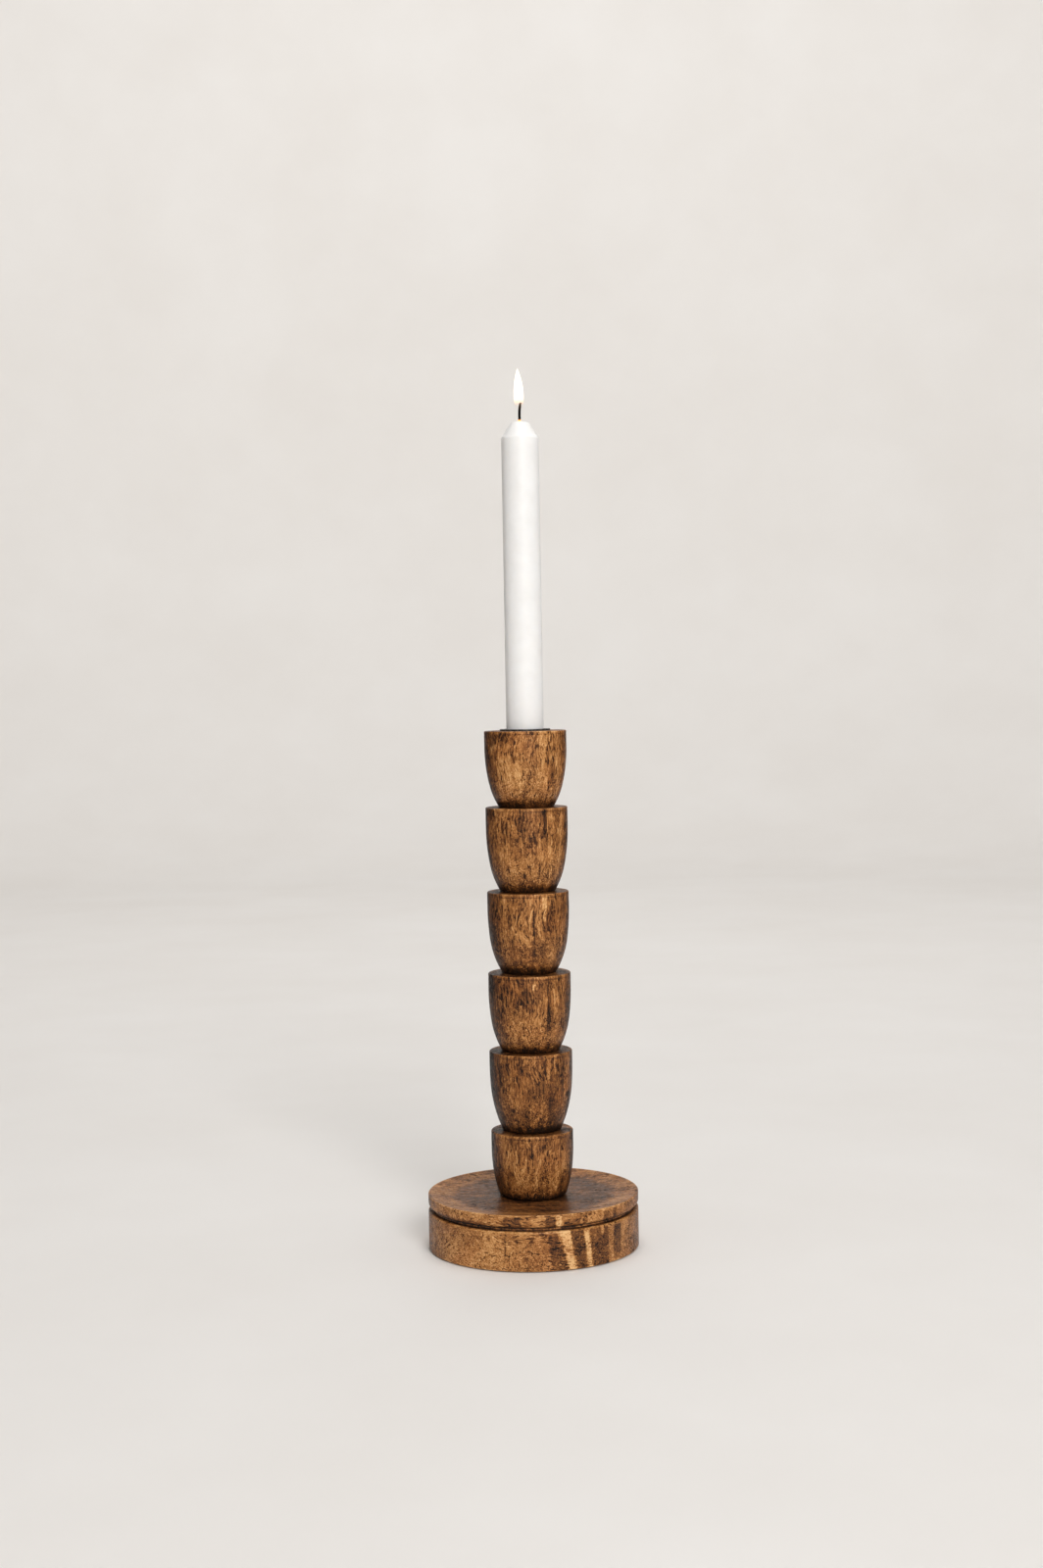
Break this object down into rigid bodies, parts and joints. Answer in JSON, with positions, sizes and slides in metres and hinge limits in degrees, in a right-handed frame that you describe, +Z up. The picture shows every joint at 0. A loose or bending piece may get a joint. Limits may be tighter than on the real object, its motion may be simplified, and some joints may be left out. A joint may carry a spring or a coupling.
{
  "type": "candlestick",
  "caption": "Tall wooden candlestick: cup-shaped turned beads stacked on a grooved round base, with a lift-out iron socket holding a dinner candle.",
  "frame": {"origin": "centre of the felt pad's underside, where the candlestick stands on the table", "axes": "+Z up along the stack and the candle; +X to the right, the way the wick bends; +Y away from the viewer"},
  "size_m": [0.1246, 0.1246, 0.4977],
  "materials": {
    "turned_wood": "brown stained hardwood with dark pores, under a satin varnish",
    "felt": "pressed wool felt",
    "zinc_steel": "zinc-plated",
    "black_iron": "satin black paint on pressed iron",
    "wax": "smooth white paraffin wax",
    "cotton": "braided cotton, charred at the free end"
  },
  "bodies": {
    "stand": {"felt_pad": "felt", "base_disc": "turned_wood", "cup_1": "turned_wood", "cup_2": "turned_wood", "cup_3": "turned_wood", "cup_4": "turned_wood", "cup_5": "turned_wood", "cup_6": "turned_wood", "base_washer": "zinc_steel", "base_nut": "zinc_steel", "tie_rod": "zinc_steel", "top_washer": "zinc_steel", "top_nut": "zinc_steel"},
    "socket": {"candle_socket": "black_iron"},
    "candle": {"candle_wax": "wax", "wick": "cotton"}
  },
  "joints": [
    {"name": "socket_lift", "type": "slide", "parent": "stand", "child": "socket", "axis": [0, 0, 1], "range_m": [0, 0.03]},
    {"name": "candle_lift", "type": "slide", "parent": "socket", "child": "candle", "axis": [0, 0, 1], "range_m": [0, 0.03]}
  ]
}
